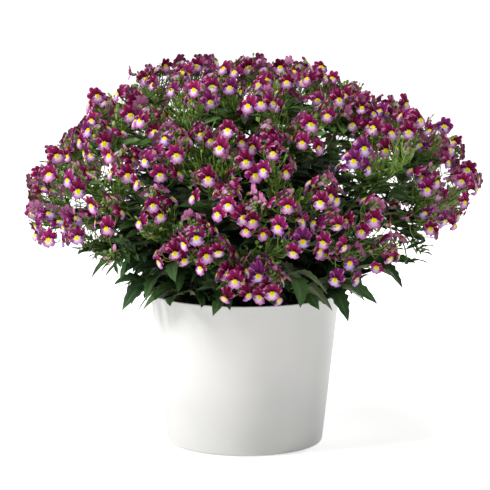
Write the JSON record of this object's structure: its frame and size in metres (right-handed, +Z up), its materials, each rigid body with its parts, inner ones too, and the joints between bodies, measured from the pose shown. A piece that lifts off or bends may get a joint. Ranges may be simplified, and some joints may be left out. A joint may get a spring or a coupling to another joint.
{
  "type": "potted nemesia",
  "caption": "Bushy flowering nemesia with forked leafy stems and domed bunches of wine-red and pink two-lipped flowers, standing in a plain tapered white pot.",
  "frame": {"origin": "centre of the pot's flat underside", "axes": "+Z up along the pot's axis, -Y towards the viewer of the picture, +X to the viewer's right"},
  "size_m": [0.4254, 0.4331, 0.3602],
  "materials": {
    "pot_white": "satin",
    "potting_mix": "matte",
    "green_growth": "satin",
    "petals": "matte"
  },
  "bodies": {
    "root": {"pot": "pot_white", "soil": "potting_mix", "leafy_stem_01": "green_growth", "leafy_stem_02": "green_growth", "leafy_stem_03": "green_growth", "leafy_stem_04": "green_growth", "leafy_stem_05": "green_growth", "leafy_stem_06": "green_growth", "leafy_stem_07": "green_growth", "leafy_stem_08": "green_growth", "leafy_stem_09": "green_growth", "leafy_stem_10": "green_growth", "leafy_stem_11": "green_growth", "leafy_stem_12": "green_growth", "leafy_stem_13": "green_growth", "leafy_stem_14": "green_growth", "leafy_stem_15": "green_growth", "leafy_stem_16": "green_growth", "leafy_stem_17": "green_growth", "leafy_stem_18": "green_growth", "leafy_stem_19": "green_growth", "flower_bunch_01": "petals", "flower_bunch_02": "petals", "flower_bunch_03": "petals", "flower_bunch_04": "petals", "flower_bunch_05": "petals", "flower_bunch_06": "petals", "flower_bunch_07": "petals", "flower_bunch_08": "petals", "flower_bunch_09": "petals", "flower_bunch_10": "petals", "flower_bunch_11": "petals", "flower_bunch_12": "petals", "flower_bunch_13": "petals", "flower_bunch_14": "petals", "flower_bunch_15": "petals", "flower_bunch_16": "petals", "flower_bunch_17": "petals", "flower_bunch_18": "petals", "flower_bunch_19": "petals", "flower_bunch_20": "petals", "flower_bunch_21": "petals", "flower_bunch_22": "petals", "flower_bunch_23": "petals", "flower_bunch_24": "petals", "flower_bunch_25": "petals", "flower_bunch_26": "petals", "flower_bunch_27": "petals", "flower_bunch_28": "petals", "flower_bunch_29": "petals", "flower_bunch_30": "petals", "flower_bunch_31": "petals", "flower_bunch_32": "petals", "flower_bunch_33": "petals", "flower_bunch_34": "petals", "flower_bunch_35": "petals", "flower_bunch_36": "petals", "flower_bunch_37": "petals", "flower_bunch_38": "petals"}
  },
  "joints": []
}
